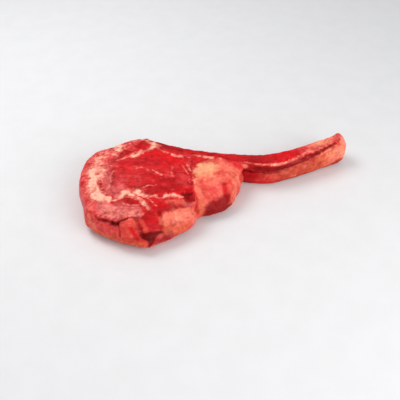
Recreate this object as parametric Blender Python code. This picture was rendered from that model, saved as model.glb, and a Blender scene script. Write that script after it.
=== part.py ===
"""Raw tomahawk steak: a thick rib eye with its long rib bone left on.

The steak lies flat. The round head of meat is at -X, the bare end of the rib
at +X, and the rib follows the far side (+Y) of the head before it runs out as a handle. Four
pieces make it up: the head of meat, the lump of fat and meat wedged between head and rib, the
rib itself, and the strip of red meat left along the rib's upper edge.

Units are metres. The origin is at the height of the underside, under the middle of the whole steak.
"""

import math

import bmesh
import bpy
from mathutils import Vector, noise

# Driving dimensions
STEAK_THICKNESS = 0.043
MEAT_GAP = 0.0004
# The middle of the whole steak, in the plan that the tables below are measured on
STEAK_MIDDLE = Vector((0.0010, 0.0033, 0.0))
HEAD_CENTRE = Vector((-0.100, 0.010))
LUMP_CENTRE = Vector((-0.012, -0.016))

# How finely the skins are divided
HEAD_STEPS_AROUND = 112
HEAD_TOP_RINGS = 17
LUMP_STEPS_AROUND = 56
LUMP_TOP_RINGS = 9
RIB_STEPS_ALONG = 56
RIB_STEPS_AROUND = 16

# The side wall from foot to rim: share of the rim's height at each ring
WALL_SHARES = (0.0, 0.07, 0.18, 0.32, 0.46, 0.6, 0.74, 0.86, 0.95, 1.0)
WIDEST_SHARE = 0.36
FOOT_INSET = 0.011
FOOT_HEIGHT = 0.006
WALL_CURVE = 1.9

# Just inside the rim the cut face swells to a soft bead, then settles to its own height:
# the bead's height, and the shares of the way to the middle by which each has happened.
RIM_BEAD = 0.0006
BEAD_ENDS_AT = 0.33
FACE_SETTLES_AT = 0.20
LAST_RING_SHORT_OF_MIDDLE = 0.6

# The head's widest line, anticlockwise from the left: x, y, how far the rim lies inside that
# line, and how high the rim is.
HEAD_OUTLINE = (
    (-0.1880, -0.0090, 0.003, 0.037),
    (-0.1890, -0.0290, 0.005, 0.037),
    (-0.1775, -0.0475, 0.006, 0.036),
    (-0.1640, -0.0615, 0.008, 0.036),
    (-0.1460, -0.0755, 0.011, 0.036),
    (-0.1230, -0.0870, 0.016, 0.036),
    (-0.1010, -0.0860, 0.019, 0.035),
    (-0.0790, -0.0760, 0.014, 0.033),
    (-0.0585, -0.0685, 0.009, 0.034),
    (-0.0475, -0.052, 0.004, 0.037),
    (-0.0440, -0.030, 0.003, 0.040),
    (-0.0400, -0.008, 0.003, 0.041),
    (-0.0350, 0.012, 0.003, 0.040),
    (-0.0260, 0.030, 0.003, 0.039),
    (-0.0360, 0.046, 0.003, 0.039),
    (-0.0570, 0.060, 0.003, 0.039),
    (-0.0690, 0.0780, 0.003, 0.039),
    (-0.0780, 0.0900, 0.004, 0.038),
    (-0.0960, 0.096, 0.005, 0.038),
    (-0.1140, 0.094, 0.005, 0.038),
    (-0.1330, 0.088, 0.004, 0.037),
    (-0.1520, 0.0860, 0.004, 0.037),
    (-0.1690, 0.0745, 0.005, 0.036),
    (-0.1805, 0.0565, 0.005, 0.036),
    (-0.1870, 0.0350, 0.004, 0.037),
    (-0.1885, 0.0130, 0.003, 0.037),
)

# The lump between head and rib, in the same terms
LUMP_OUTLINE = (
    (-0.0500, -0.053, 0.006, 0.030),
    (-0.0330, -0.0550, 0.0095, 0.026),
    (-0.0150, -0.0535, 0.008, 0.025),
    (0.0010, -0.0455, 0.005, 0.027),
    (0.0150, -0.0300, 0.004, 0.031),
    (0.0290, -0.0120, 0.003, 0.034),
    (0.0325, 0.0020, 0.003, 0.034),
    (0.0190, 0.018, 0.003, 0.035),
    (-0.0080, 0.032, 0.003, 0.038),
    (-0.0310, 0.040, 0.003, 0.038),
    (-0.0430, 0.018, 0.003, 0.039),
    (-0.0500, -0.010, 0.003, 0.039),
    (-0.0540, -0.034, 0.003, 0.036),
)

# How the cut faces lie under the steak's full thickness
HEAD_FACE_BELOW = 0.002
LUMP_FACE_BELOW = 0.001
# The lump's top falls away: where the fall starts, over how far it runs, and how much it drops
LUMP_FALLS_TO_FRONT = (-0.004, 0.060, 0.017)
LUMP_FALLS_TO_RIGHT = (-0.012, 0.055, 0.007)

# Seams of fat that part the muscles on the head's cut face: their line, half width and depth
SEAMS = (
    (
        (
            (-0.125, 0.078),
            (-0.152, 0.066),
            (-0.168, 0.043),
            (-0.172, 0.010),
            (-0.169, -0.014),
            (-0.161, -0.024),
            (-0.151, -0.029),
            (-0.140, -0.026),
            (-0.130, -0.016),
            (-0.121, -0.016),
            (-0.114, -0.027),
            (-0.100, -0.034),
            (-0.086, -0.039),
            (-0.073, -0.045),
            (-0.064, -0.054),
        ),
        0.0045,
        0.0022,
    ),
    (
        ((-0.122, -0.017), (-0.114, -0.030), (-0.110, -0.043), (-0.114, -0.056)),
        0.0035,
        0.0018,
    ),
    (
        ((-0.112, 0.046), (-0.103, 0.056), (-0.090, 0.062), (-0.078, 0.066), (-0.079, 0.079)),
        0.0035,
        0.0015,
    ),
    (
        ((-0.178, -0.052), (-0.163, -0.060), (-0.148, -0.064), (-0.130, -0.062), (-0.114, -0.067)),
        0.0035,
        0.0030,
    ),
)

# Soft swells (+) and hollows (-) on the head's cut face: x, y, radius, height
TOP_SWELLS = (
    (-0.095, 0.012, 0.042, 0.0040),
    (-0.140, -0.044, 0.020, 0.0025),
    (-0.179, 0.020, 0.012, 0.0015),
    (-0.165, 0.062, 0.014, 0.0015),
    (-0.080, -0.055, 0.014, 0.0020),
    (-0.057, -0.047, 0.008, -0.0060),
    (-0.150, 0.010, 0.014, -0.0015),
    (-0.088, 0.068, 0.010, -0.0020),
)

# Bulges (+) and clefts (-) of the side wall: x, y, z, radius, push
WALL_SWELLS = (
    (-0.078, -0.079, 0.026, 0.017, 0.0045),
    (-0.104, -0.088, 0.012, 0.010, -0.0060),
    (-0.126, -0.089, 0.020, 0.013, 0.0030),
    (-0.140, -0.083, 0.024, 0.007, -0.0030),
    (-0.152, -0.075, 0.022, 0.011, 0.0030),
    (-0.170, -0.059, 0.026, 0.010, -0.0025),
    (-0.184, -0.038, 0.018, 0.014, 0.0015),
    (-0.190, 0.022, 0.022, 0.018, 0.0008),
    (-0.162, 0.078, 0.020, 0.014, -0.0025),
    (-0.141, 0.087, 0.022, 0.014, 0.0020),
)
WALL_ROUGHNESS = 0.0014
WALL_ROUGHNESS_SCALE = 0.016
HEAD_ROUGHNESS = 0.0007
LUMP_ROUGHNESS = 0.0011
TOP_ROUGHNESS_SCALE = 0.011

# The rib: x, y of its middle, z of its underside, z where bone ends and the strip of meat
# begins, z of the strip's top, and half its width in plan.
RIB_STATIONS = (
    (-0.0850, 0.0855, 0.0060, 0.0270, 0.0390, 0.0064),
    (-0.0650, 0.0672, 0.0030, 0.0270, 0.0388, 0.0068),
    (-0.0430, 0.0512, 0.0020, 0.0260, 0.0385, 0.0072),
    (-0.0150, 0.0350, 0.0012, 0.0245, 0.0375, 0.0081),
    (0.0130, 0.0217, 0.0010, 0.0235, 0.0365, 0.0096),
    (0.0420, 0.0083, 0.0006, 0.0220, 0.0360, 0.0120),
    (0.0700, -0.0005, 0.0004, 0.0215, 0.0355, 0.0138),
    (0.0980, -0.0005, 0.0004, 0.0240, 0.0350, 0.0135),
    (0.1280, 0.0023, 0.0004, 0.0270, 0.0350, 0.0126),
    (0.1560, 0.0070, 0.0004, 0.0300, 0.0360, 0.0127),
    (0.1770, 0.0113, 0.0004, 0.0340, 0.0375, 0.0139),
    (0.1912, 0.0140, 0.0045, 0.0380, 0.0390, 0.0142),
)
# Rings along the rib lie closer together towards its ends: 0 is evenly, 1 is fully eased.
RIB_EASING = 0.5
BONE_CORNER = 5.5
STRIP_CORNER = 3.2
# The strip of meat is a little wider than the bone, and runs between these two rings.
STRIP_WIDTH = 1.04
STRIP_FIRST_RING = 1
STRIP_LAST_RING = 50
# Its tail thins over this share of the rib's course, down to these shares of height and width.
STRIP_TAIL = 0.16
TAIL_HEIGHT_LEFT = 0.35
TAIL_WIDTH_LEFT = 0.75
# The rib's cut end slants: its far corner reaches further out than its near one.
END_SLANT = 0.14
END_SLANT_STARTS_AT = 0.86
# Each end rounds off over a share of the rib's course, down to a share of its section.
INNER_END_ROUND = 0.035
INNER_END_LEFT = 0.45
OUTER_END_ROUND = 0.035
OUTER_END_LEFT = 0.62
# The slot that the rib needs in head and lump ends in the air beyond the lump.
SLOT_LAST_RING = 29
SLOT_OVERSHOOT = 0.02

SHARP_ANGLE = math.radians(55)
# Each piece's colour and roughness
FINISHES = {
    "rib_eye": ((0.62, 0.045, 0.04, 1.0), 0.32),
    "fat_lump": ((0.85, 0.28, 0.16, 1.0), 0.38),
    "rib_bone": ((0.78, 0.25, 0.17, 1.0), 0.42),
    "rib_meat": ((0.55, 0.03, 0.035, 1.0), 0.30),
}


def clear_scene():
    for old in list(bpy.data.objects):
        bpy.data.objects.remove(old)


def catmull_rom(before, start, end, after, t):
    """A point between start and end on the smooth curve through all four."""
    return tuple(
        0.5
        * (
            2 * b
            + (c - a) * t
            + (2 * a - 5 * b + 4 * c - d) * t * t
            + (3 * b - a - 3 * c + d) * t * t * t
        )
        for a, b, c, d in zip(before, start, end, after)
    )


def on_closed_curve(points, share):
    """The values at a share of the way round a closed curve through the points."""
    place = share * len(points)
    first = int(place) % len(points)
    around = [points[(first + k) % len(points)] for k in (-1, 0, 1, 2)]
    return catmull_rom(*around, place - int(place))


def on_open_curve(points, share):
    """The values at a share of the way along an open curve through the points."""
    last = len(points) - 1
    place = min(max(share, 0.0), 1.0) * last
    first = min(int(place), last - 1)
    around = [points[min(max(first + k, 0), last)] for k in (-1, 0, 1, 2)]
    return catmull_rom(*around, place - first)


def distance_to_line(x, y, line):
    """How far a point of the plan lies from a broken line."""
    best = math.inf
    for (ax, ay), (bx, by) in zip(line, line[1:]):
        dx, dy = bx - ax, by - ay
        along = ((x - ax) * dx + (y - ay) * dy) / (dx * dx + dy * dy)
        along = min(max(along, 0.0), 1.0)
        best = min(best, math.hypot(x - ax - along * dx, y - ay - along * dy))
    return best


def bell(distance, radius):
    return math.exp(-((distance / radius) ** 2))


def smooth_step(value):
    value = min(max(value, 0.0), 1.0)
    return value * value * (3 - 2 * value)


def round_off(value, left):
    """From left at 0 to 1 at 1, on a quarter circle."""
    value = min(max(value, 0.0), 1.0)
    return left + (1 - left) * math.sqrt(1 - (1 - value) ** 2)


def rough(point, scale):
    """Noise from -1 to 1, the same each time."""
    return noise.noise(point / scale)


def head_top(x, y):
    """Height of the head's cut face: gently domed, with seams and swells."""
    height = STEAK_THICKNESS - HEAD_FACE_BELOW
    for swell_x, swell_y, radius, rise in TOP_SWELLS:
        height += rise * bell(math.hypot(x - swell_x, y - swell_y), radius)
    for line, half_width, depth in SEAMS:
        height -= depth * bell(distance_to_line(x, y, line), half_width)
    return height + HEAD_ROUGHNESS * rough(Vector((x, y, 0.0)), TOP_ROUGHNESS_SCALE)


def lump_top(x, y):
    """Height of the lump: level by the rib, falling away to the front and the right."""
    height = STEAK_THICKNESS - LUMP_FACE_BELOW
    start, run, drop = LUMP_FALLS_TO_FRONT
    height -= drop * smooth_step((start - y) / run)
    start, run, drop = LUMP_FALLS_TO_RIGHT
    height -= drop * smooth_step((x - start) / run)
    return height + LUMP_ROUGHNESS * rough(Vector((x, y, 0.0)), TOP_ROUGHNESS_SCALE)


def wall_inset(share, rim_inset):
    """How far inside the widest line the wall stands at this share of the rim's height."""
    if share < WIDEST_SHARE:
        return FOOT_INSET * (1 - share / WIDEST_SHARE) ** 2
    return rim_inset * ((share - WIDEST_SHARE) / (1 - WIDEST_SHARE)) ** WALL_CURVE


def wall_push(point):
    """How far the wall swells outwards at a point; nothing at the foot, which stays flat."""
    push = WALL_ROUGHNESS * rough(point, WALL_ROUGHNESS_SCALE)
    for x, y, z, radius, rise in WALL_SWELLS:
        push += rise * bell((point - Vector((x, y, z))).length, radius)
    return push * smooth_step(point.z / FOOT_HEIGHT)


def mound_rings(outline, centre, top, steps, top_rings, grow):
    """Rings of a rounded mass that stands on the plane of the underside, from its foot to its crown."""
    places = [on_closed_curve(outline, k / steps) for k in range(steps)]
    plan = [Vector(place[:2]) for place in places]
    rings = []
    outwards = []
    for k in range(steps):
        along = plan[(k + 1) % steps] - plan[k - 1]
        outwards.append(Vector((along.y, -along.x)).normalized())
    for share in WALL_SHARES:
        ring = []
        for k, (_, _, rim_inset, rim_height) in enumerate(places):
            at = plan[k] - outwards[k] * wall_inset(share, rim_inset)
            point = Vector((at.x, at.y, share * rim_height))
            push = wall_push(point) + grow
            ring.append(point + (outwards[k] * push).to_3d())
        rings.append(ring)
    rim = rings[-1]
    for number in range(1, top_rings + 1):
        inner = number / (top_rings + LAST_RING_SHORT_OF_MIDDLE)
        settled = smooth_step(inner / FACE_SETTLES_AT)
        bead = RIM_BEAD * math.sin(math.pi * min(inner / BEAD_ENDS_AT, 1.0))
        ring = []
        for k in range(steps):
            at = rim[k].to_2d().lerp(centre, inner)
            height = rim[k].z + (top(at.x, at.y) - rim[k].z) * settled
            ring.append(Vector((at.x, at.y, height + bead + grow)))
        rings.append(ring)
    for point in rings[0]:
        point.z -= grow
    return rings


def rounded_section(half_width, low, high, corner):
    """A rounded upright oblong as (sideways, height) pairs."""
    middle, half_height = (low + high) / 2, (high - low) / 2
    section = []
    for k in range(RIB_STEPS_AROUND):
        turn = 2 * math.pi * (k + 0.5) / RIB_STEPS_AROUND
        across, up = math.cos(turn), math.sin(turn)
        side = math.copysign(abs(across) ** (2 / corner), across)
        rise = math.copysign(abs(up) ** (2 / corner), up)
        section.append((half_width * side, middle + half_height * rise))
    return section


def ring_share(number):
    """Where along the rib's course a ring lies, from 0 at the head to 1 at the bare end."""
    even = number / RIB_STEPS_ALONG
    eased = (1 - math.cos(math.pi * even)) / 2
    return even + (eased - even) * RIB_EASING


def rib_course(share):
    """Middle of the rib, its forward and sideways directions in plan, and its other values."""
    x, y, *rest = on_open_curve(RIB_STATIONS, share)
    before = on_open_curve(RIB_STATIONS, share - 0.01)
    after = on_open_curve(RIB_STATIONS, share + 0.01)
    along = Vector((after[0] - before[0], after[1] - before[1])).normalized()
    return Vector((x, y)), along, Vector((-along.y, along.x)), rest


def rib_rings(section_at, first, last):
    """Rings along the rib, each the section that section_at gives for its place."""
    rings = []
    for number in range(first, last + 1):
        share = ring_share(number)
        middle, along, sideways, rest = rib_course(share)
        slanted = (share - END_SLANT_STARTS_AT) / (1 - END_SLANT_STARTS_AT)
        sideways = sideways + along * END_SLANT * smooth_step(slanted)
        ring = []
        for across, height in section_at(share, *rest):
            at = middle + sideways * across
            ring.append(Vector((at.x, at.y, height)))
        rings.append(ring)
    return rings


def bone_section(share, low, seat, _top, half_width):
    left = round_off(share / INNER_END_ROUND, INNER_END_LEFT)
    left *= round_off((1 - share) / OUTER_END_ROUND, OUTER_END_LEFT)
    middle, half_height = (low + seat) / 2, (seat - low) / 2 * left
    return rounded_section(half_width * left, middle - half_height, middle + half_height, BONE_CORNER)


def strip_section(share, _low, seat, top, half_width):
    before_tail = smooth_step((ring_share(STRIP_LAST_RING) - share) / STRIP_TAIL)
    width = STRIP_WIDTH * round_off(share / INNER_END_ROUND, INNER_END_LEFT)
    width *= TAIL_WIDTH_LEFT + (1 - TAIL_WIDTH_LEFT) * before_tail
    thick = TAIL_HEIGHT_LEFT + (1 - TAIL_HEIGHT_LEFT) * before_tail
    low = seat + MEAT_GAP
    return rounded_section(half_width * width, low, low + (top - low) * thick, STRIP_CORNER)


def slot_section(share, _low, _seat, _top, half_width):
    """The upright slot that the rib needs in what lies beside it."""
    width = half_width * STRIP_WIDTH * round_off(share / INNER_END_ROUND, INNER_END_LEFT) + MEAT_GAP
    low, high = -SLOT_OVERSHOOT, STEAK_THICKNESS + SLOT_OVERSHOOT
    return [(width, low), (width, high), (-width, high), (-width, low)]


def loft(name, rings):
    """One closed skin through the rings, with flat ends."""
    mesh = bmesh.new()
    loops = []
    for ring in rings:
        loops.append([mesh.verts.new(point - STEAK_MIDDLE) for point in ring])
    for lower, upper in zip(loops, loops[1:]):
        for k in range(len(lower)):
            after = (k + 1) % len(lower)
            mesh.faces.new((lower[k], lower[after], upper[after], upper[k]))
    mesh.faces.new(reversed(loops[0]))
    mesh.faces.new(loops[-1])
    bmesh.ops.recalc_face_normals(mesh, faces=mesh.faces)
    data = bpy.data.meshes.new(name)
    mesh.to_mesh(data)
    mesh.free()
    made = bpy.data.objects.new(name, data)
    bpy.context.scene.collection.objects.link(made)
    return made


def finish(piece):
    """Gives a piece its Principled finish and smooth shading."""
    colour, roughness = FINISHES[piece.name]
    finish_of_piece = bpy.data.materials.new(piece.name)
    finish_of_piece.use_nodes = True
    shader = finish_of_piece.node_tree.nodes["Principled BSDF"]
    shader.inputs["Base Color"].default_value = colour
    shader.inputs["Roughness"].default_value = roughness
    shader.inputs["Metallic"].default_value = 0.0
    piece.data.materials.append(finish_of_piece)
    piece.data.shade_smooth()
    piece.data.set_sharp_from_angle(angle=SHARP_ANGLE)


def as_cutter(piece):
    piece.hide_render = True
    piece.display_type = "WIRE"
    return piece


def cut(piece, cutter):
    """Takes the cutter's shape out of the piece."""
    modifier = piece.modifiers.new("cut_by_" + cutter.name, "BOOLEAN")
    modifier.operation = "DIFFERENCE"
    modifier.solver = "EXACT"
    modifier.object = cutter


def build_head(name, grow=0.0):
    rings = mound_rings(
        HEAD_OUTLINE, HEAD_CENTRE, head_top, HEAD_STEPS_AROUND, HEAD_TOP_RINGS, grow
    )
    return loft(name, rings)


def build_lump():
    rings = mound_rings(
        LUMP_OUTLINE, LUMP_CENTRE, lump_top, LUMP_STEPS_AROUND, LUMP_TOP_RINGS, 0.0
    )
    return loft("fat_lump", rings)


def build_rib_slot():
    """The slot's inner end stands a gap clear of the rib's."""
    rings = rib_rings(slot_section, 0, SLOT_LAST_RING)
    _, along, _, _ = rib_course(0.0)
    for point in rings[0]:
        point -= along.to_3d() * MEAT_GAP
    return as_cutter(loft("rib_slot", rings))


def main():
    clear_scene()
    rib_bone = loft("rib_bone", rib_rings(bone_section, 0, RIB_STEPS_ALONG))
    rib_meat = loft("rib_meat", rib_rings(strip_section, STRIP_FIRST_RING, STRIP_LAST_RING))
    rib_eye = build_head("rib_eye")
    fat_lump = build_lump()
    rib_slot = build_rib_slot()
    head_seat = as_cutter(build_head("head_seat", MEAT_GAP))
    cut(rib_eye, rib_slot)
    cut(fat_lump, head_seat)
    cut(fat_lump, rib_slot)
    for piece in (rib_eye, fat_lump, rib_bone, rib_meat):
        finish(piece)


main()
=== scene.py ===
"""Looks of a raw tomahawk steak: wet red meat, seams of pale fat, and a long bare rib.

Each of the four solids gets a moulded skin of its own form. On that skin the seams, creases,
lobes and crumbs of the real thing are raised or sunk, and the same places are painted: a tint
for the ground colour, with painted shade in creases, pits and undersides, masks for pale fat
and for crumbly rim, the way the grain of the meat runs and how plainly it shows. The materials
then break these up more finely.

Units are metres. +X runs from the head of meat to the bare end of the rib, +Z is up.
"""

import bmesh
import bpy
import numpy as np
from mathutils import Matrix, Vector, noise


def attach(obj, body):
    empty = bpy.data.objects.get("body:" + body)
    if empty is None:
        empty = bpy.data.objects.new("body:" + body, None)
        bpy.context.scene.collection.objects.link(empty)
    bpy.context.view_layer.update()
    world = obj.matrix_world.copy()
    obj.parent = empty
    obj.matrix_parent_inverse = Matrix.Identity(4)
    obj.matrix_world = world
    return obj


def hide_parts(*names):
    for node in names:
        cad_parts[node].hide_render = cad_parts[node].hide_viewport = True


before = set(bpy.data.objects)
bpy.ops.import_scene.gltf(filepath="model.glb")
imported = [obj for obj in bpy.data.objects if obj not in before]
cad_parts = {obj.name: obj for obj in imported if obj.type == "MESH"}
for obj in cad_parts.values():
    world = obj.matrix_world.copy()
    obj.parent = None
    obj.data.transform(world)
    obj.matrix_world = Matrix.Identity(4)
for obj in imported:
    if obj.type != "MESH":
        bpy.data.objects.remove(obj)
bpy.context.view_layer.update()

# Camera, solved from the photograph's perspective
CAMERA_PLACE = Vector((-0.2038, -0.5428, 0.5237))
CAMERA_RIGHT = Vector((0.954671, -0.297443, 0.011489))
CAMERA_UP = Vector((0.197097, 0.660582, 0.724420))
CAMERA_LENS_MM = 50.28
SENSOR_MM = 36.0
# The middle of the steak, in the plan that the lines and spots below are measured on
STEAK_MIDDLE = np.array((0.0006, 0.0014, 0.0))

# Ground colours, linear
BRIGHT = (0.72, 0.007, 0.011)
RED = (0.60, 0.009, 0.013)
DEEP = (0.40, 0.007, 0.009)
DARK = (0.27, 0.003, 0.004)
GARNET = (0.33, 0.004, 0.006)
MAROON = (0.15, 0.001, 0.001)
DUSKY = (0.58, 0.055, 0.055)
MAUVE = (0.74, 0.140, 0.130)
SCARLET = (0.78, 0.030, 0.034)
ROSE = (0.80, 0.070, 0.070)
CORAL = (0.80, 0.075, 0.055)
PALE_CORAL = (1.0, 0.230, 0.150)
APRICOT = (1.0, 0.430, 0.220)
AMBER = (0.74, 0.120, 0.050)
RUST = (0.60, 0.070, 0.038)
PINK_FAT = (0.96, 0.270, 0.205)
CREAM = (1.0, 0.540, 0.380)
PURPLE = (0.40, 0.034, 0.046)
DULL_PINK = (0.80, 0.165, 0.150)

# How finely each skin is divided, and how often it is smoothed
HEAD_CELL = 0.0010
LUMP_CELL = 0.0008
BONE_CELL = 0.0009
STRIP_CELL = 0.0008
MERGE_DISTANCE = 1e-6
SMOOTHING_PASSES = 2
# Below this height a skin stays as flat as the solid's foot
FOOT = 0.0015

# The lines and spots below are in millimetres
MM = 0.001
SAMPLES_A_STEP = 5
SHORTEST_STEP = 1e-9
# The edges of lines and spots wander in billows of this size
WANDER_SIZE = 0.006
# Seams of fat are worn thin in billows of this size, by up to this share
WEAR_SIZE = 0.009
WEAR_DEPTH = 0.55

# In each octave of cloudy noise, how much the billows fade and how many times smaller they are
CLOUD_FADE = 1.0
CLOUD_SHRINK = 2.0
# The cloudy patterns painted on the skins, by the size of their billows
BROAD_BLOTCHES = 0.028
HEAD_BLOTCHES = 0.011
LUMP_BLOTCHES = 0.010
LUMP_FLECKS = 0.006
STRIP_BLOTCHES = 0.008
BONE_BLOTCHES = (0.014, 0.008, 0.008)
MUSCLE_STREAKS = (0.030, 0.0045, 0.02)
RIB_STREAKS = (0.02, 0.003, 0.003)
CRUMB_SIZE = 0.0045
GRAIN_BEND_SIZE = 0.030
GRAIN_BEND = 0.003

# How high the relief stands
FAT_RISE = 0.0007
LUMP_FAT_RISE = 0.0006
BLOTCH_RISE = 0.0006
LUMP_BLOTCH_RISE = 0.0009
STREAK_RISE = 0.0003
CRUMB_RISE = 0.0008

# Patterns in the material: billows to the metre, then detail, roughness and distortion
FINE = (1100.0, 3.0, 0.60, 0.0)
BROAD = (230.0, 4.0, 0.55, 0.3)
SLOW = (90.0, 4.0, 0.55, 0.4)
# The same where the grain draws them out: billows to the metre along, across and through it
BUNDLES = ((28.0, 120.0, 120.0), 4.0, 0.55, 1.5)
FIBRES = ((80.0, 330.0, 330.0), 3.0, 0.60, 1.2)
FLECKS = ((140.0, 520.0, 520.0), 2.0, 0.50, 0.8)
# The value that such a pattern has on average
MEAN = 0.5
# How plain the grain is in red meat and in fatty meat
MEAT_GRAIN = 0.5
FATTY_GRAIN = 0.15

# The shade of the ground: how much the patterns add to it, where it is shadow and where it glows.
# Each span below goes from where a thing begins to where it is full
FIBRE_SHADE = 0.7
MOTTLE = 0.8
BROAD_MOTTLE = 0.6
FINE_MOTTLE = 0.12
SHADOW_SPAN = (-0.24, 0.03)
GLOW_SPAN = (0.02, 0.30)
# What the ground colour is multiplied by there
SHADOW = (0.66, 0.50, 0.50)
GLOW = (1.25, 2.00, 1.90)
# How red a ground is that has pale flecks, and how green one that has pale crumbs
LIVELY_RED = (0.18, 0.45)
FATTY_GREEN = (0.012, 0.07)
# Flecks and crumbs, by the value of their pattern, and how plainly they show
FLECK_SPAN = (0.62, 0.76)
FLECK_STRENGTH = 0.4
CRUMB_SPAN = (0.50, 0.66)
DARK_CRUMB_STRENGTH = 0.6
PALE_CRUMB_STRENGTH = 0.7
# How much each pattern frays the seams of fat, and which painted values of fat fray and show
BROAD_FRAY = 2.2
SLOW_FRAY = 1.2
FINE_FRAY = 0.4
FRAYED_FAT = (0.0, 0.35)
SEEN_FAT = (0.0, 1.1)
CREAM_FAT = (0.60, 1.05)
CREAM_MOTTLE = 1.6
# How rough the surface is, and what fat and the broad pattern add
ROUGHNESS = 0.34
FAT_ROUGHNESS = 0.06
BROAD_ROUGHNESS = 0.3
# How far the bump goes, and the share of each pattern in it
BUMP_HEIGHT = 0.001
GRAIN_BUMP = 0.5
BLOTCH_BUMP = 0.4
FINE_BUMP = 0.10
CRUMB_BUMP = 0.6
# What is the same all over the wet surface
WET = {
    "IOR": 1.4,
    "Specular IOR Level": 0.08,
    "Subsurface Weight": 0.10,
    "Subsurface Radius": (0.004, 0.0010, 0.0006),
    "Subsurface Scale": 1.0,
    "Coat Weight": 0.05,
    "Coat Roughness": 0.12,
}

# Studio: each light's place, aim, size and power
LIGHTS = {
    "key": ((-0.45, 0.50, 1.00), (-0.03, 0.0, 0.0), 0.7, 6.5),
    "fill": ((0.45, -0.85, 0.55), (0.0, 0.0, 0.0), 0.9, 6.0),
}
SKY_COLOUR = (0.96, 0.97, 1.0)
SKY_STRENGTH = 0.55
FLOOR_SIZE = 20.0
FLOOR_SPECKS = 30.0
FLOOR_SPECK_SPAN = (0.3, 0.7)
FLOOR_ROUGHNESS = 0.7
FLOOR_DARK = (0.80, 0.80, 0.795)
FLOOR_LIGHT = (0.82, 0.82, 0.818)


def smooth(value, low=0.0, high=1.0):
    """Eases an array from 0 at low to 1 at high."""
    share = np.clip((value - low) / (high - low), 0.0, 1.0)
    return share * share * (3 - 2 * share)


def clouds(points, size, octaves=3, start=0.0):
    """Cloudy noise, mostly from -1 to 1, whose billows are about size across.

    Another start gives other clouds of the same kind.
    """
    places = (points / np.asarray(size) + start).tolist()
    kind = (CLOUD_FADE, CLOUD_SHRINK, octaves)
    return np.array([noise.fractal(Vector(place), *kind) for place in places])


def rounded_course(line):
    """A line's points in metres, with a smooth curve's points between them."""
    rows = np.array(line, float) * MM
    if len(rows) < 3:
        return rows
    padded = np.vstack([rows[:1], rows, rows[-1:]])
    course = []
    for a, b, c, d in zip(padded, padded[1:], padded[2:], padded[3:]):
        square = 2 * a - 5 * b + 4 * c - d
        cubic = 3 * b - a - 3 * c + d
        for t in np.arange(SAMPLES_A_STEP) / SAMPLES_A_STEP:
            course.append(0.5 * (2 * b + (c - a) * t + square * t**2 + cubic * t**3))
    course.append(rows[-1])
    return np.array(course)


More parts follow.
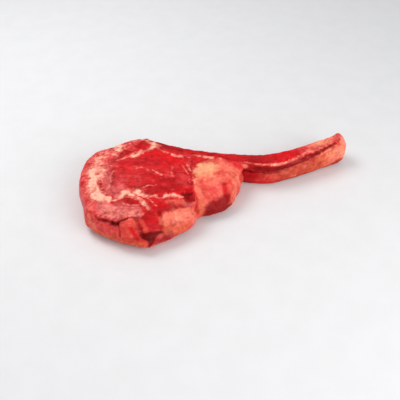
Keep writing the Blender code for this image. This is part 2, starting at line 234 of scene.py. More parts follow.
class Skin:
    """The moulded surface of a piece, and the layers painted on it."""

    def __init__(self, name, node, cell, ground):
        self.node = node
        self.thing = moulded(name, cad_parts[node], cell)
        self.read()
        count = len(self.points)
        self.plan = self.points + STEAK_MIDDLE
        shifts = [clouds(self.plan, WANDER_SIZE, octaves=4, start=9.0 * k) for k in range(3)]
        self.shift = np.array(shifts).T
        self.wear = clouds(self.plan, WEAR_SIZE, start=40.0)
        self.tint = np.tile(np.array(ground), (count, 1))
        self.fat = np.zeros(count)
        self.crumb = np.zeros(count)
        self.grain = np.ones(count)
        self.flow = self.plan.copy()
        self.height = np.zeros(count)

    def read(self):
        mesh = self.thing.data
        flat = np.empty(len(mesh.vertices) * 3, np.float32)
        mesh.vertices.foreach_get("co", flat)
        self.points = flat.reshape(-1, 3).astype(float)
        mesh.vertices.foreach_get("normal", flat)
        self.outwards = flat.reshape(-1, 3).astype(float)

    def follow(self, line, wander=0.0):
        """Along and across a line from each point, both in metres, and in half widths.

        A row of the line is x, y, half width on a cut face, or x, y, z, half width.
        """
        rows = rounded_course(line)
        size = rows.shape[1] - 1
        points = self.plan[:, :size] + wander * MM * self.shift[:, :size]
        best = np.full(len(points), np.inf)
        along, across = np.zeros(len(points)), np.zeros(len(points))
        walked = 0.0
        for one, other in zip(rows, rows[1:]):
            run = other[:size] - one[:size]
            length = max(np.linalg.norm(run), SHORTEST_STEP)
            share = np.clip((points - one[:size]) @ run / length**2, 0.0, 1.0)
            away = np.linalg.norm(points - one[:size] - share[:, None] * run, axis=1)
            ratio = away / (one[size] + (other[size] - one[size]) * share)
            closer = ratio < best
            best = np.where(closer, ratio, best)
            along = np.where(closer, walked + share * length, along)
            across = np.where(closer, away, across)
            walked += length
        return along, across, best

    def near(self, line, wander, softness):
        """1 on a line, 0 off it."""
        return smooth(1 + softness - self.follow(line, wander)[2], 0.0, 2 * softness)

    def dye(self, mask, colour):
        """Lays a colour over the skin where the mask is: ground colour and painted shade alike."""
        mask = np.clip(mask, 0.0, 1.0)[:, None]
        self.tint = self.tint * (1 - mask) + np.array(colour) * mask

    def lay_clouds(self, table, pattern, where=1.0):
        """Lays a table of colours over the billows of a pattern, or between them."""
        for colour, strength, side, none, full in table.values():
            self.dye(smooth(side * pattern, none, full) * where * strength, colour)

    def dab(self, dabs, where=1.0):
        """Lays down a table of stains and painted shade."""
        for colour, strength, wander, softness, line in dabs.values():
            self.dye(self.near(line, wander, softness) * strength * where, colour)

    def grow_fat(self, seams, where=1.0):
        """Adds a table of seams of fat, worn thin in places."""
        for strength, wander, softness, line in seams.values():
            seam = self.near(line, wander, softness) * strength * (1 + WEAR_DEPTH * self.wear)
            self.fat = np.maximum(self.fat, seam * where)

    def sink(self, hollows):
        """Adds a table of hollows, or swellings where the depth is negative."""
        for depth, wander, softness, line in hollows.values():
            self.height = self.height - depth * MM * self.near(line, wander, softness)

    def finish(self):
        """Raises the relief, and writes the layers for the materials to read."""
        self.height[self.points[:, 2] < FOOT] = 0.0
        moved = self.points + self.outwards * self.height[:, None]
        mesh = self.thing.data
        mesh.vertices.foreach_set("co", moved.ravel().astype(np.float32))
        mesh.update()
        tint = mesh.attributes.new("tint", "FLOAT_COLOR", "POINT")
        rows = np.hstack([np.clip(self.tint, 0.0, 1.0), np.ones((len(self.tint), 1))])
        tint.data.foreach_set("color", rows.ravel().astype(np.float32))
        flow = mesh.attributes.new("flow", "FLOAT_VECTOR", "POINT")
        flow.data.foreach_set("vector", self.flow.ravel().astype(np.float32))
        for layer in ("fat", "crumb", "grain"):
            mask = mesh.attributes.new(layer, "FLOAT", "POINT")
            values = np.clip(getattr(self, layer), 0.0, 1.0)
            mask.data.foreach_set("value", values.astype(np.float32))


def moulded(name, solid, cell):
    """A new piece with the solid's form and an even, rounded skin of cells of this size."""
    mesh = bmesh.new()
    mesh.from_mesh(solid.data)
    bmesh.ops.remove_doubles(mesh, verts=mesh.verts, dist=MERGE_DISTANCE)
    bmesh.ops.recalc_face_normals(mesh, faces=mesh.faces)
    rough = bpy.data.meshes.new(name + "_rough")
    mesh.to_mesh(rough)
    mesh.free()
    thing = bpy.data.objects.new(name, rough)
    bpy.context.scene.collection.objects.link(thing)
    remesh = thing.modifiers.new("skin", "REMESH")
    remesh.mode = "VOXEL"
    remesh.voxel_size = cell
    evaluated = thing.evaluated_get(bpy.context.evaluated_depsgraph_get())
    mesh = bmesh.new()
    mesh.from_mesh(evaluated.to_mesh())
    evaluated.to_mesh_clear()
    every_way = {"use_axis_x": True, "use_axis_y": True, "use_axis_z": True}
    for _ in range(SMOOTHING_PASSES):
        bmesh.ops.smooth_vert(mesh, verts=mesh.verts, factor=0.5, **every_way)
    skin = bpy.data.meshes.new(name)
    mesh.to_mesh(skin)
    mesh.free()
    thing.modifiers.clear()
    thing.data = skin
    bpy.data.meshes.remove(rough)
    skin.shade_smooth()
    return thing


class Value:
    """A socket of a material that can stand in a sum."""

    def __init__(self, recipe, socket):
        self.recipe = recipe
        self.socket = socket

    def sum(self, operation, one, other):
        return self.recipe.node("ShaderNodeMath", {"operation": operation}, [one, other])

    def __add__(self, other):
        return self.sum("ADD", self, other)

    def __sub__(self, other):
        return self.sum("SUBTRACT", self, other)

    def __rsub__(self, other):
        return self.sum("SUBTRACT", other, self)

    def __mul__(self, other):
        return self.sum("MULTIPLY", self, other)

    __radd__ = __add__
    __rmul__ = __mul__

    def ease(self, low, high):
        """0 below low, 1 above high, and smooth between."""
        sockets = {"Value": self, "From Min": low, "From Max": high}
        return self.recipe.node("ShaderNodeMapRange", {"interpolation_type": "SMOOTHSTEP"}, sockets)


class Recipe:
    """A material, built node by node."""

    def __init__(self, name):
        self.material = bpy.data.materials.new(name)
        self.material.use_nodes = True
        self.tree = self.material.node_tree
        self.tree.nodes.clear()
        self.place = self.node("ShaderNodeTexCoord", out="Object")

    def node(self, kind, settings=None, sockets=None, out=None):
        """A node of this kind: its settings first, then its sockets' values or links."""
        made = self.tree.nodes.new(kind)
        for key, value in (settings or {}).items():
            setattr(made, key, value)
        if isinstance(sockets, list):
            pairs = list(zip(made.inputs, sockets))
        else:
            usable = {socket.name: socket for socket in reversed(made.inputs) if socket.enabled}
            pairs = [(usable[key], value) for key, value in (sockets or {}).items()]
        for socket, value in pairs:
            if isinstance(value, Value):
                self.tree.links.new(value.socket, socket)
            else:
                socket.default_value = value
        found = [s for s in made.outputs if s.enabled and (out is None or s.name == out)]
        return Value(self, found[0]) if found else None

    def layer(self, name, out="Fac"):
        return self.node("ShaderNodeAttribute", {"attribute_name": name}, out=out)

    def channel(self, colour, name):
        return self.node("ShaderNodeSeparateColor", {}, [colour], out=name)

    def noise(self, scale, detail=3.0, roughness=0.55, distortion=0.0, at=None):
        sockets = {"Vector": at or self.place, "Scale": scale, "Detail": detail}
        sockets.update({"Roughness": roughness, "Distortion": distortion})
        return self.node("ShaderNodeTexNoise", {}, sockets)

    def grained(self, flow, scale, detail, roughness, distortion):
        """Noise that is drawn out the way the grain runs."""
        at = self.node("ShaderNodeVectorMath", {"operation": "MULTIPLY"}, [flow, scale])
        return self.noise(1.0, detail, roughness, distortion, at)

    def mix(self, factor, one, other, blend="MIX"):
        settings = {"data_type": "RGBA", "blend_type": blend}
        sockets = {"Factor": factor, "A": opaque(one), "B": opaque(other)}
        return self.node("ShaderNodeMix", settings, sockets)

    def surface(self, colour, roughness, height, constants):
        """The wet surface: what changes over it, then what is the same all over."""
        relief = {"Strength": 1.0, "Distance": BUMP_HEIGHT, "Height": height}
        bump = self.node("ShaderNodeBump", {}, relief)
        sockets = {"Base Color": colour, "Roughness": roughness, "Normal": bump}
        sockets.update(constants)
        shader = self.node("ShaderNodeBsdfPrincipled", {}, sockets)
        self.node("ShaderNodeOutputMaterial", {}, {"Surface": shader})
        return self.material


def opaque(colour):
    return colour if isinstance(colour, Value) else (*colour, 1.0)


def raw_meat(name, grain_strength):
    """Raw meat over the painted ground: grain, flecks, crumbs and seams of fat."""
    recipe = Recipe(name)
    fat = recipe.layer("fat")
    crumb = recipe.layer("crumb")
    grain = recipe.layer("grain") * grain_strength
    ground = recipe.layer("tint", "Color")
    flow = recipe.layer("flow", "Vector")
    fine, broad, slow = (recipe.noise(*pattern) for pattern in (FINE, BROAD, SLOW))
    grained = (recipe.grained(flow, *pattern) for pattern in (BUNDLES, FIBRES, FLECKS))
    bundles, fibres, flecks = grained
    # The ground, darker between the bundles of fibre and in blotches, brighter elsewhere
    shade = (FIBRE_SHADE * (fibres - MEAN) + (bundles - MEAN)) * grain
    shade = shade + MOTTLE * ((slow - MEAN) + BROAD_MOTTLE * (broad - MEAN))
    shade = shade + FINE_MOTTLE * (fine - MEAN)
    shadow = recipe.mix(1.0, ground, SHADOW, "MULTIPLY")
    glow = recipe.mix(1.0, ground, GLOW, "MULTIPLY")
    colour = recipe.mix(shade.ease(*SHADOW_SPAN), shadow, ground)
    colour = recipe.mix(shade.ease(*GLOW_SPAN), colour, glow)
    # Flecks of fat in the grain, though not in dark pits and films
    lively = recipe.channel(ground, "Red").ease(*LIVELY_RED)
    fleck = flecks.ease(*FLECK_SPAN) * grain * lively * FLECK_STRENGTH
    colour = recipe.mix(fleck, colour, PINK_FAT)
    # Crumbs of dark meat along the rim, and of pale fat where the ground is not deep red
    fatty = recipe.channel(ground, "Green").ease(*FATTY_GREEN)
    dark_crumbs = (1 - broad).ease(*CRUMB_SPAN) * crumb * DARK_CRUMB_STRENGTH
    pale_crumbs = broad.ease(*CRUMB_SPAN) * crumb * fatty * PALE_CRUMB_STRENGTH
    colour = recipe.mix(dark_crumbs, colour, DEEP)
    colour = recipe.mix(pale_crumbs, colour, PINK_FAT)
    # Seams of fat with frayed edges, pink where they are thin
    fray = BROAD_FRAY * (broad - MEAN) + SLOW_FRAY * (slow - MEAN) + FINE_FRAY * (fine - MEAN)
    seam = (fat + fat.ease(*FRAYED_FAT) * fray).ease(*SEEN_FAT)
    creamy = (fat + CREAM_MOTTLE * (slow - MEAN)).ease(*CREAM_FAT)
    colour = recipe.mix(seam, colour, recipe.mix(creamy, PINK_FAT, CREAM))
    roughness = ROUGHNESS + FAT_ROUGHNESS * seam + BROAD_ROUGHNESS * (broad - MEAN)
    height = GRAIN_BUMP * (fibres + bundles) * grain + BLOTCH_BUMP * (broad + slow)
    height = height + FINE_BUMP * fine + CRUMB_BUMP * crumb * broad
    return recipe.surface(colour, roughness, height, WET)


# Stains and painted shade on the head's cut faces: colour, strength, wander, softness, then x, y, half
# width
FACE_DABS = {
    "crescent muscle": (
        DUSKY, 0.60, 3, 0.6,
        ((-135, 60, 12), (-148, 35, 12), (-151, 10, 12), (-147, -12, 10)),
    ),
    "its dull heart": (
        MAUVE, 0.60, 4, 0.8,
        ((-150, 24, 6), (-153, 4, 7), (-150, -12, 7), (-145, -20, 5)),
    ),
    "red inside it": (DEEP, 0.60, 2, 0.8, ((-137, 34, 2), (-142, 22, 3), (-145, 10, 3), (-146, 0, 2))),
    "its inner line": (
        DEEP, 0.60, 2, 0.8,
        ((-161, 41, 2), (-159, 27, 2), (-161, 10, 2), (-160, -7, 2), (-157, -22, 1.5)),
    ),
    "its pale end": (MAUVE, 0.55, 2, 0.9, ((-136, -4, 4), (-139, -14, 4), (-145, -22, 3))),
    "far corner": (
        ROSE, 0.75, 3, 0.5,
        ((-166, 66, 9), (-155, 71, 9), (-142, 74, 9), (-138, 60, 7), (-148, 50, 6)),
    ),
    "far edge": (ROSE, 0.60, 3, 0.5, ((-115, 83, 8), (-103, 79, 8), (-108, 66, 7))),
    "muscle in the ring": (RED, 0.90, 1.5, 0.5, ((-99, 68, 3.5), (-89, 70, 4), (-83, 65, 3))),
    "bloom under the ring": (
        BRIGHT, 0.95, 2, 0.4,
        ((-98, 46, 5), (-84, 45, 9), (-70, 38, 9), (-58, 28, 7)),
    ),
    "cap muscle": (
        DULL_PINK, 0.90, 3, 0.5,
        ((-166, -33, 8), (-161, -43, 9.5), (-150, -50, 10), (-137, -55, 8), (-124, -57, 6)),
    ),
    "cap muscle, pale end": (PINK_FAT, 0.35, 2, 0.8, ((-164, -38, 4), (-157, -47, 5))),
    "cap muscle, inside": (DUSKY, 0.60, 3, 0.7, ((-148, -35, 4), (-139, -44, 5), (-128, -52, 5))),
    "round muscle": (DEEP, 0.70, 2, 0.6, ((-137, -31, 4), (-131, -38, 6), (-125, -46, 4))),
    "round muscle's glow": (BRIGHT, 0.70, 1, 0.8, ((-127, -37, 2), (-122, -45, 2.5))),
    "dark by the far patch": (DARK, 0.50, 3, 0.8, ((-117, 60, 3), (-125, 54, 3.5), (-131, 52, 2.5))),
    "blush by the recess": (ROSE, 0.50, 4, 0.9, ((-62, -20, 4), (-56, -28, 4), (-49, -30, 3))),
    "lit band": (SCARLET, 0.55, 6, 0.9, ((-131, 22, 4), (-116, 18, 6), (-98, 14, 7), (-82, 12, 6))),
    "shade at the right": (DEEP, 0.45, 6, 0.9, ((-86, -10, 5), (-74, -14, 6), (-62, -14, 5))),
    "mottle at the right": (ROSE, 0.55, 4, 0.9, ((-58, -4, 2.5), (-54, -12, 3), (-50, -20, 2))),
    "under the seam": (BRIGHT, 0.80, 2, 0.6, ((-112, -41, 6), (-101, -49, 7), (-93, -53, 5))),
    "pale under the seam": (PALE_CORAL, 0.45, 2, 0.8, ((-87, -51, 3), (-77, -53, 3), (-66, -54, 3))),
    "dusk above the seam": (
        DEEP, 0.60, 5, 0.9,
        ((-104, -26, 5), (-89, -28, 6), (-75, -27, 6), (-64, -26, 5)),
    ),
    "cut in the grain": (
        DARK, 0.70, 2, 0.9,
        ((-131, -6, 1.2), (-122, -11, 2), (-112, -15, 1.6), (-100, -22, 1.2)),
    ),
    "smear": (ROSE, 0.20, 5, 0.9, ((-134, 14, 4), (-124, 8, 5), (-112, 2, 4), (-100, -2, 3))),
    "smear below": (ROSE, 0.22, 5, 0.9, ((-136, 4, 5), (-130, -4, 5), (-122, -6, 4), (-110, -12, 3))),
    # Painted shade in the recess, darkest under its top edge
    "recess": (
        DARK, 0.72, 1.0, 0.25,
        ((-61, -47, 4.5), (-60, -52, 4.5), (-55, -51, 4.5), (-56, -46, 4.5)),
    ),
    "recess's top": (MAROON, 0.70, 0.6, 0.6, ((-67, -42, 0.9), (-60, -41.5, 1.4), (-52, -42, 1.2))),
    "below the recess": (MAUVE, 0.75, 1, 0.8, ((-66, -57, 2), (-59, -58, 2.5), (-53, -57, 2))),
}
# Seams of fat on the head's cut faces: strength, wander, softness, then x, y, half width
FACE_FAT = {
    "band, far end": (
        0.85, 6.0, 1.0,
        ((-142, 68, 6), (-153, 60, 10), (-158, 48, 12), (-161, 36, 12), (-166, 22, 10), (-170, 10, 6)),
    ),
    "band": (
        1.30, 3.0, 1.0,
        ((-171, 13, 4.5), (-172, 2, 6), (-171, -8, 7.5), (-166, -18, 7.5), (-157, -26, 4)),
    ),
    "loop, start": (1.0, 2.0, 0.9, ((-160, -26, 3), (-155, -28, 2.2), (-149, -29, 2.4))),
    "loop": (
        1.05, 2.5, 1.0,
        ((-149, -29, 2.6), (-139, -23, 3.8), (-131, -19.5, 4.8), (-122, -20.5, 4.6), (-114, -27, 3)),
    ),
    "loop, falling": (
        0.60, 2.5, 1.0,
        ((-114, -26, 3), (-109, -32, 2.4), (-100, -36, 2), (-92, -42, 2)),
    ),
    "loop, end": (
        0.72, 2.5, 1.0,
        ((-92, -42, 2), (-84, -40, 3.2), (-76, -42, 2.6), (-70, -45, 2.2), (-65, -47, 1.4)),
    ),
    "branch": (
        0.85, 2.5, 1.0,
        ((-128, -24, 2), (-123, -31, 3), (-118, -41, 3.8), (-114, -49, 3.8), (-112, -57, 2.6)),
    ),
    "rim of the round muscle": (
        0.50, 1.5, 0.9,
        ((-143, -34, 1), (-139, -42, 1.3), (-130, -47, 1.4), (-121, -48, 1.2)),
    ),
    "tongue at the right": (0.95, 1.5, 0.6, ((-43, 12, 1.2), (-42, 5, 2.2), (-42, -3, 2))),
    "tongue below it": (0.80, 1.5, 0.6, ((-43, -14, 1.6), (-45, -22, 1.4))),
    "blush": (0.35, 4.0, 0.9, ((-112, 26, 2), (-104, 18, 3), (-96, 12, 2))),
    "thread in the loop": (0.55, 1.5, 0.8, ((-135, -27, 1), (-127, -32, 1.2), (-122, -40, 1))),
    "thread right of the branch": (0.45, 2.0, 0.9, ((-111, -30, 1), (-106, -43, 1.3), (-102, -54, 1))),
    "thread over the loop": (0.40, 2.0, 0.9, ((-112, -20, 1.2), (-104, -17, 1.2), (-94, -19, 0.8))),
    "far patch": (0.95, 4.0, 1.0, ((-122, 80, 6), (-125, 71, 8), (-131, 61, 4.5))),
    "ring, back": (
        0.65, 2.0, 0.9,
        ((-112, 79, 1.6), (-105, 82, 2.2), (-95, 84, 2.8), (-84, 81, 3.2), (-77, 74, 4.2)),
    ),
    "ring": (
        0.88, 2.0, 0.9,
        (
            (-78, 74, 4.2), (-73, 64, 6), (-80, 60, 4.5), (-88, 58, 3.6), (-96, 57, 3.6), (-101, 52, 5),
            (-107, 49, 5),
        ),
    ),
    "ring, tail": (
        0.55, 2.0, 1.0,
        ((-107, 49, 4), (-113, 50, 3), (-119, 49, 2), (-127, 47, 1.4), (-134, 46, 1.2)),
    ),
    "right edge": (
        0.42, 3.0, 1.0,
        ((-73, 59, 3.5), (-68, 49, 2.2), (-62, 42, 1.8), (-54, 36, 1.6), (-48, 26, 1.4)),
    ),
    "right edge, outer": (
        0.60, 1.5, 0.9,
        ((-59, 38, 1.2), (-54, 33, 2), (-48, 31, 3), (-41, 29, 2.2), (-36, 26, 1.2)),
    ),
    "crescent's streak": (
        0.50, 1.5, 1.0,
        ((-140, 27, 1.2), (-145, 19, 2), (-147, 9, 1.6), (-151, 0, 2), (-156, -6, 1.4)),
    ),
    "crescent's second": (
        0.42, 1.5, 1.0,
        (
            (-146, 40, 1.4), (-151, 31, 2), (-155, 20, 1.8), (-158, 8, 1.6), (-159, -6, 1.6),
            (-158, -18, 1.4),
        ),
    ),
    "crescent's third": (0.40, 2.0, 1.0, ((-152, 44, 1.2), (-143, 38, 1.8), (-134, 34, 1.2))),
    "fleck": (0.60, 0.7, 0.9, ((-91, 9, 0.9), (-86, 3, 1.3), (-82, -2, 1.4))),
    "fleck beside it": (0.45, 0.7, 1.0, ((-64, 10, 2), (-67, 3, 0.6), (-69, -6, 2))),
    "fleck at the edge": (0.35, 1.0, 1.0, ((-66, 43, 1), (-59, 38, 0.9))),
    "fleck at the right": (0.35, 1.5, 0.9, ((-50, 10, 0.9), (-48, -6, 1), (-50, -26, 0.9))),
    "cap's streak": (
        0.40, 2.0, 0.9,
        ((-165, -30, 0.9), (-160, -41, 1.1), (-151, -50, 1.3), (-141, -56, 1.1), (-129, -58, 1)),
    ),
    "cap's second": (
        0.35, 2.0, 0.9,
        ((-160, -30, 0.9), (-151, -40, 1.1), (-140, -49, 1.1), (-126, -53, 0.9)),
    ),
}
# Stains and painted shade on the head's wall, with x, y, z, half width
WALL_DABS = {
    "first lobe": (ROSE, 0.80, 3, 0.6, ((-178, -50, 22, 8), (-168, -57, 25, 8), (-160, -66, 24, 6))),
    "left of it": (
        PALE_CORAL, 0.70, 2, 0.7,
        ((-184, -35, 31, 3.5), (-183, -41, 25, 4.5), (-180, -47, 19, 4)),
    ),
    "second lobe": (CORAL, 0.95, 2, 0.4, ((-146, -64, 36, 6), (-138, -68, 35, 7), (-141, -76, 28, 7))),
    "its rim": (
        PALE_CORAL, 0.45, 2, 0.8,
        ((-147, -63, 37, 1.6), (-137, -64, 38, 1.6), (-131, -69, 36, 1.6), (-130, -75, 33, 1.6)),
    ),
    "its heart": (
        BRIGHT, 0.90, 2, 0.6,
        ((-139, -72, 32, 1.6), (-137, -78, 28, 3), (-135, -83, 23, 3.5)),
    ),
    "beside it": (DEEP, 0.70, 2, 0.7, ((-129, -69, 36, 2.5), (-129, -80, 30, 3))),
    "third lobe": (
        CORAL, 0.75, 2, 0.6,
        ((-126, -67, 38, 2.4), (-124, -76, 35, 3), (-121, -82, 30, 2.4)),
    ),
    "red fall": (RED, 0.90, 3, 0.5, ((-116, -57, 41, 6), (-113, -66, 38, 7.5), (-110, -76, 32, 7.5))),
    "shoulder": (PALE_CORAL, 0.95, 3, 0.5, ((-94, -71, 31, 8), (-81, -69, 30, 10), (-66, -67, 28, 9))),
    "shoulder's end": (PALE_CORAL, 0.60, 2, 0.6, ((-60, -66, 20, 6), (-56, -66, 12, 6))),
    "shoulder's foot": (AMBER, 0.85, 3, 0.6, ((-97, -82, 23, 6), (-84, -82, 19, 7), (-71, -77, 16, 6))),
    "foot": (
        AMBER, 0.80, 3, 0.6,
        (
            (-182, -45, 12, 6), (-168, -62, 10, 6), (-154, -77, 12, 6), (-140, -85, 12, 6),
            (-128, -91, 13, 5),
        ),
    ),
    "beside the notch": (
        PURPLE, 0.85, 2.5, 0.6,
        ((-107, -88, 13, 6), (-99, -87, 15, 7), (-90, -86, 18, 4.5)),
    ),
    "under that": (DEEP, 0.75, 2, 0.5, ((-110, -89, 15, 6), (-96, -86, 9, 6))),
    # Painted shade in the notch, its foot and the groove
    "notch": (
        MAROON, 0.92, 1, 0.3,
        ((-131, -83, 26.5, 2.5), (-118, -87, 24, 6.5), (-104, -85, 24.5, 3), (-96, -84, 23, 1.6)),
    ),
    "notch's foot": (MAROON, 0.92, 1, 0.3, ((-117, -89, 19, 5.5), (-120, -92, 13, 2.5))),
    "groove": (
        MAROON, 0.90, 1.5, 0.7,
        ((-178, -46, 33, 1.2), (-171, -51, 33, 2.2), (-165, -55, 34, 1.8)),
    ),
    "groove's pit": (
        MAROON, 0.95, 1.5, 0.6,
        ((-163, -57, 34, 1.8), (-157, -62, 33, 3.4), (-152, -62, 35, 2)),
    ),
    "groove's end": (
        DARK, 0.70, 1.5, 0.7,
        ((-152, -61, 37, 1.2), (-141, -61, 38, 1.2), (-128, -63, 38, 1)),
    ),
}
# Creases and lobes of the wall: depth, wander, softness, then x, y, z, half width
WALL_CREASES = {
    "between the first lobes": (
        1.5, 0.8, 0.8,
        ((-155, -63, 33, 1.8), (-153, -69, 29, 1.8), (-156, -76, 18, 1.8)),
    ),
    "beside the second": (
        1.5, 0.8, 0.8,
        ((-132, -65, 37, 1.4), (-129, -74, 33, 1.8), (-127, -83, 26, 1.8)),
    ),
    "across the second": (
        1.0, 0.8, 0.8,
        ((-149, -73, 29, 1.2), (-143, -79, 25, 1.6), (-136, -84, 22, 1.4)),
    ),
    "over the shoulder": (
        1.2, 0.8, 0.8,
        ((-94, -61, 38, 1.2), (-82, -60, 38, 1.4), (-71, -60, 37, 1.4), (-55, -59, 32, 1.2)),
    ),
    "beside the shoulder": (
        1.2, 0.8, 0.8,
        ((-101, -60, 38, 1.8), (-99, -70, 34, 2), (-101, -80, 27, 1.8)),
    ),
    "groove": (
        2.2, 0.8, 0.8,
        ((-178, -46, 33, 1.6), (-171, -51, 32, 2.4), (-165, -55, 33, 2), (-160, -59, 32, 2.6)),
    ),
    "groove's end": (
        2.2, 0.8, 0.8,
        ((-160, -59, 32, 2.6), (-156, -63, 32, 3), (-150, -62, 36, 2), (-141, -62, 38, 1.4)),
    ),
}
WALL_FORMS = {
    "notch": (2.6, 0.8, 0.6, ((-130, -84, 27, 3), (-118, -88, 22, 6.5), (-102, -85, 24, 3))),
    "recess": (2.2, 0.8, 0.5, ((-59, -41, 40, 5), (-55, -47, 39, 5.5))),
    "first lobe": (-1.2, 1.0, 0.9, ((-176, -51, 24, 6), (-165, -59, 25, 6))),
    "second lobe": (-1.6, 1.0, 0.8, ((-145, -65, 34, 5), (-138, -70, 33, 7), (-142, -76, 28, 5))),
    "third lobe": (-0.8, 1.0, 0.9, ((-125, -70, 37, 2.4), (-122, -80, 32, 3))),
}
# Clouds of colour on the head: colour, strength, 1 for the billows of a pattern or -1 for what
# lies between them, then the values at which a cloud begins and is full
FACE_BLOOM = {
    "bright billows": (BRIGHT, 0.80, 1, -0.15, 0.45),
}
FACE_STREAKS = {
    "dark streaks": (DEEP, 0.35, 1, 0.05, 0.45),
    "pale streaks": (ROSE, 0.25, -1, 0.15, 0.60),
}
FACE_CLOUDS = {
    "dark blotches": (DEEP, 0.45, 1, 0.10, 0.60),
    "pale blotches": (ROSE, 0.35, -1, 0.10, 0.60),
}
WALL_CLOUDS = {
    "pale blotches": (ROSE, 0.60, 1, 0.0, 0.50),
    "red blotches": (RED, 0.60, -1, 0.15, 0.60),
}
RIM_CLOUDS = {
    "red crumbs": (RED, 0.80, 1, 0.0, 0.40),
    "pale crumbs": (PALE_CORAL, 0.30, -1, 0.20, 0.60),
}
# How steeply a cut face looks up or down: from none to full
CUT_FACE_SLOPE = (0.45, 0.8)
# The pits of painted shade, which stay free of grain and crumbs
PIT_NAMES = ("notch", "notch's foot", "groove", "groove's pit", "groove's end")
PITS = [WALL_DABS[name][-1] for name in PIT_NAMES]
# How much painted shade darkens a crease for each millimetre of its depth
CREASE_SHADE = 0.35
# The head's left rim, by how far it reaches towards -X and up, and its back rim
RIM_REACH = (0.168, 0.180)
RIM_HEIGHT = (0.012, 0.030)
RIM_STRENGTH = 0.8
BACK_RIM_REACH = (0.08, 0.10)
BACK_RIM_DEPTH = (0.055, 0.075)
BACK_RIM_HEIGHT = (0.02, 0.034)
# How crumbly the rims and the wall are
RIM_CRUMB = 0.35
BACK_RIM_CRUMB = 0.8
WALL_CRUMB = 0.25
# How plain the grain is on the wall, and how much of it is lost in the calm eye and in pits
WALL_GRAIN = 0.35
CALM = 0.5
PIT_CALM = 0.8
# The smooth middle of the eye of the meat
CALM_EYE = ((-112, 30, 10), (-90, 24, 18), (-70, 14, 12))
# The head's front edge, where the cap muscle is frayed
CRUMBLY_EDGE = (
    (-176, -41, 37, 4), (-160, -52, 38, 5), (-142, -58, 39, 5), (-130, -60, 40, 5), (-118, -63, 39, 4),
)
# Where pieces meet, in plan: their skins swell there to close the gap
MEETINGS = (
    (
        (-48, -57, 2.5), (-47, -40, 2.5), (-45, -22, 2.5), (-42, -5, 2.8), (-39, 8, 3), (-36, 18, 3),
        (-31, 30, 3),
    ),
    (
        (-32, 34, 2.5), (-48, 44, 2.5), (-63, 55, 2.5), (-78, 68, 2.5), (-86, 75, 3), (-87, 80, 3),
        (-81, 87, 3),
    ),
    ((-28, 31, 2.5), (-14, 23, 2.5), (2, 15, 2.5), (13, 9, 2.5), (20, 5, 2)),
    ((46, -8, 23, 3), (69, -14, 23, 3), (98, -13, 26, 3), (123, -11, 29, 3), (147, -7, 31, 3)),
)
MEETING_SWELL = 0.0013
LEAST_SWELL = 0.0004
SWELL_UNEVENNESS = 0.8
SWELL_FOOT = 0.004
# The muscles whose grain curves, by the line that it follows
CURVED_MUSCLES = (
    ((-118, 78, 14), (-144, 62, 14), (-159, 35, 14), (-159, 5, 14), (-152, -18, 12)),
    ((-172, -30, 12), (-158, -44, 12), (-138, -50, 12), (-116, -52, 10)),
)
EYE_GRAIN = Vector((0.94, -0.34))


def close_gap(skin):
    """Swells the skin where pieces meet, unevenly as grown tissue does."""
    swell = MEETING_SWELL * (1 + SWELL_UNEVENNESS * skin.shift[:, 0])
    seams = np.max([skin.near(line, wander=0.8, softness=0.7) for line in MEETINGS], axis=0)
    skin.height += np.maximum(swell, LEAST_SWELL) * seams * smooth(skin.plan[:, 2], 0.0, SWELL_FOOT)


